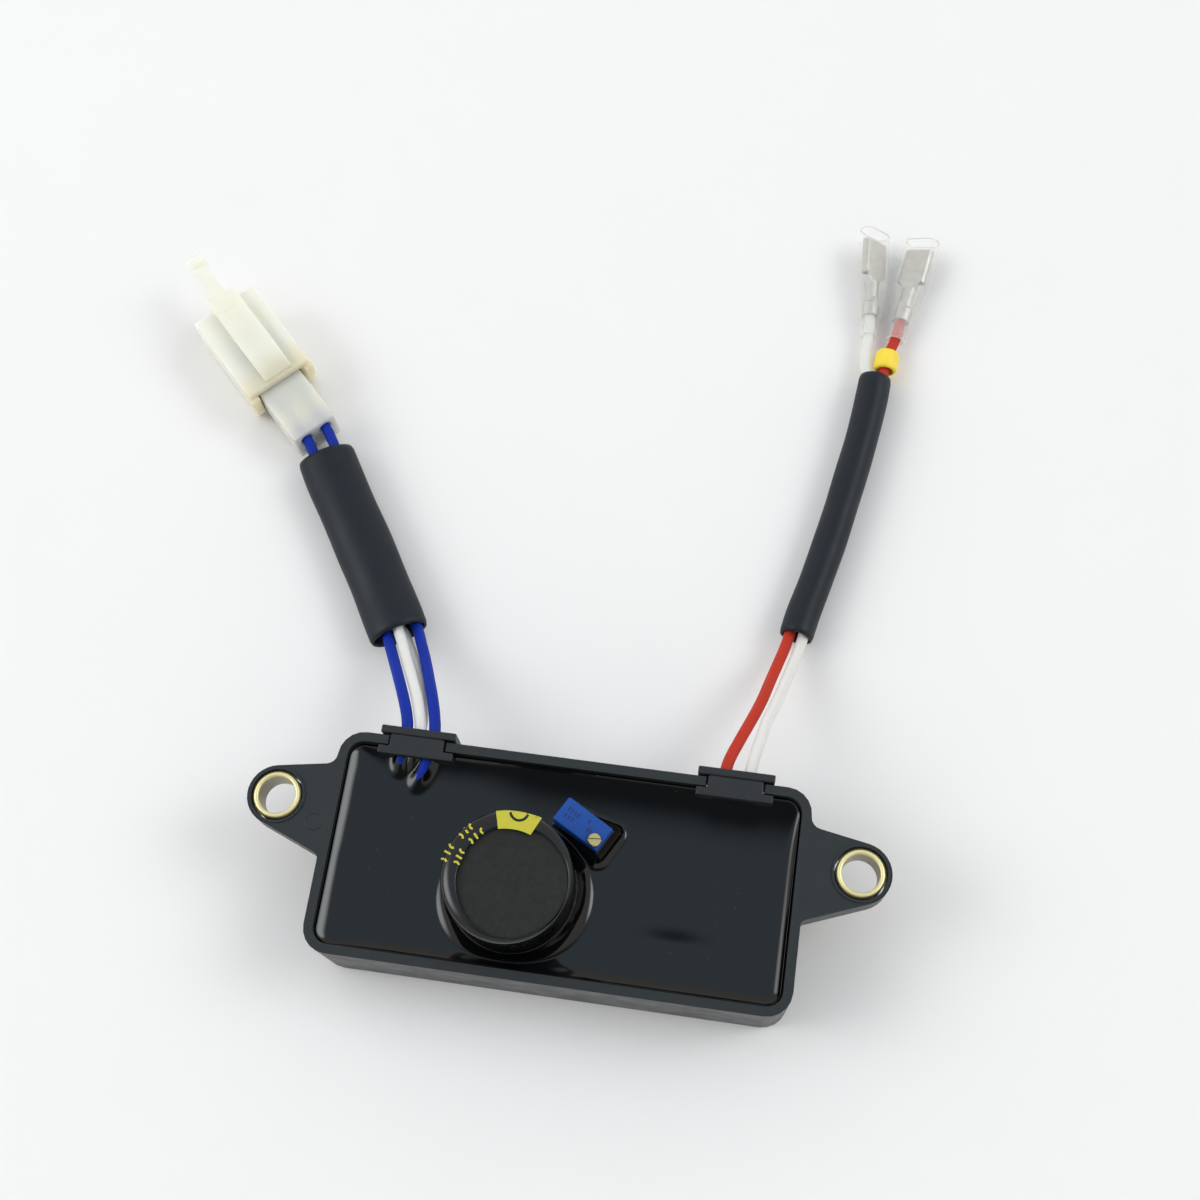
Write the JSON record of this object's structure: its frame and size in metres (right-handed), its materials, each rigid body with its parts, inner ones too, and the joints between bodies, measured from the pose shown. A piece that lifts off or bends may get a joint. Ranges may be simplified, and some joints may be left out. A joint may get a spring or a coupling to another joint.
{
  "type": "automatic voltage regulator",
  "caption": "Potted generator voltage regulator: black tray with bushed fixing ears, filter capacitor and trimmer, and leads to a latching connector and sleeved spade terminals.",
  "frame": {"origin": "centre of the closed back face of the tray", "axes": "+X from ear to ear, +Y towards the side that the leads leave, +Z out of the open potted face"},
  "size_m": [0.1515, 0.1618, 0.0297],
  "materials": {
    "black_plastic": "satin moulded plastic",
    "clip_plastic": "matte moulded plastic",
    "potting_compound": "glossy cast resin",
    "brass": "turned",
    "tinned_brass": "bright tin plate",
    "board_laminate": "green solder mask",
    "part_black": "moulded package",
    "resistor_body": "lacquered",
    "film_capacitor_body": "dipped",
    "aluminium": "drawn can",
    "sleeve_black": "satin soft plastic",
    "disc_black": "matte",
    "trimmer_blue": "satin moulded plastic",
    "blue_insulation": "satin wire insulation",
    "white_insulation": "satin wire insulation",
    "red_insulation": "satin wire insulation",
    "marker_yellow": "soft plastic",
    "ivory_nylon": "satin nylon",
    "natural_nylon": "milky translucent nylon",
    "clear_sleeve": "clear soft plastic"
  },
  "bodies": {
    "regulator": {"housing": "black_plastic", "left_bush": "brass", "right_bush": "brass", "left_wire_clip": "clip_plastic", "right_wire_clip": "clip_plastic", "potting": "potting_compound", "circuit_board": "board_laminate", "capacitor_can": "aluminium", "capacitor_sleeve": "sleeve_black", "capacitor_top_disc": "disc_black", "trimmer_body": "trimmer_blue", "rectifier_diode_1": "part_black", "rectifier_diode_2": "part_black", "rectifier_diode_3": "part_black", "rectifier_diode_4": "part_black", "flyback_diode": "part_black", "zener_diode": "film_capacitor_body", "control_transistor": "part_black", "power_transistor": "part_black", "dropper_resistor": "resistor_body", "resistor_1": "resistor_body", "resistor_2": "resistor_body", "resistor_3": "resistor_body", "film_capacitor": "film_capacitor_body", "blue_wire_1": "blue_insulation", "blue_wire_2": "blue_insulation", "white_wire_1": "white_insulation", "white_wire_2": "white_insulation", "red_wire": "red_insulation", "brush_white_wire": "white_insulation", "left_sleeve": "sleeve_black", "right_sleeve": "sleeve_black", "wire_marker": "marker_yellow", "connector_shell": "ivory_nylon", "connector_plug": "natural_nylon", "contact_upper_left": "tinned_brass", "contact_upper_right": "tinned_brass", "contact_lower_left": "tinned_brass", "contact_lower_right": "tinned_brass", "red_spade_terminal": "tinned_brass", "white_spade_terminal": "tinned_brass", "red_clear_sleeve": "clear_sleeve", "white_clear_sleeve": "clear_sleeve"},
    "adjusting_screw": {"trimmer_screw": "brass"}
  },
  "joints": [
    {"name": "trimmer_turn", "type": "hinge", "parent": "regulator", "child": "adjusting_screw", "pos_m": [0.00549, 0.00554, 0.0201], "axis": [0, 0, 1], "continuous": true}
  ]
}
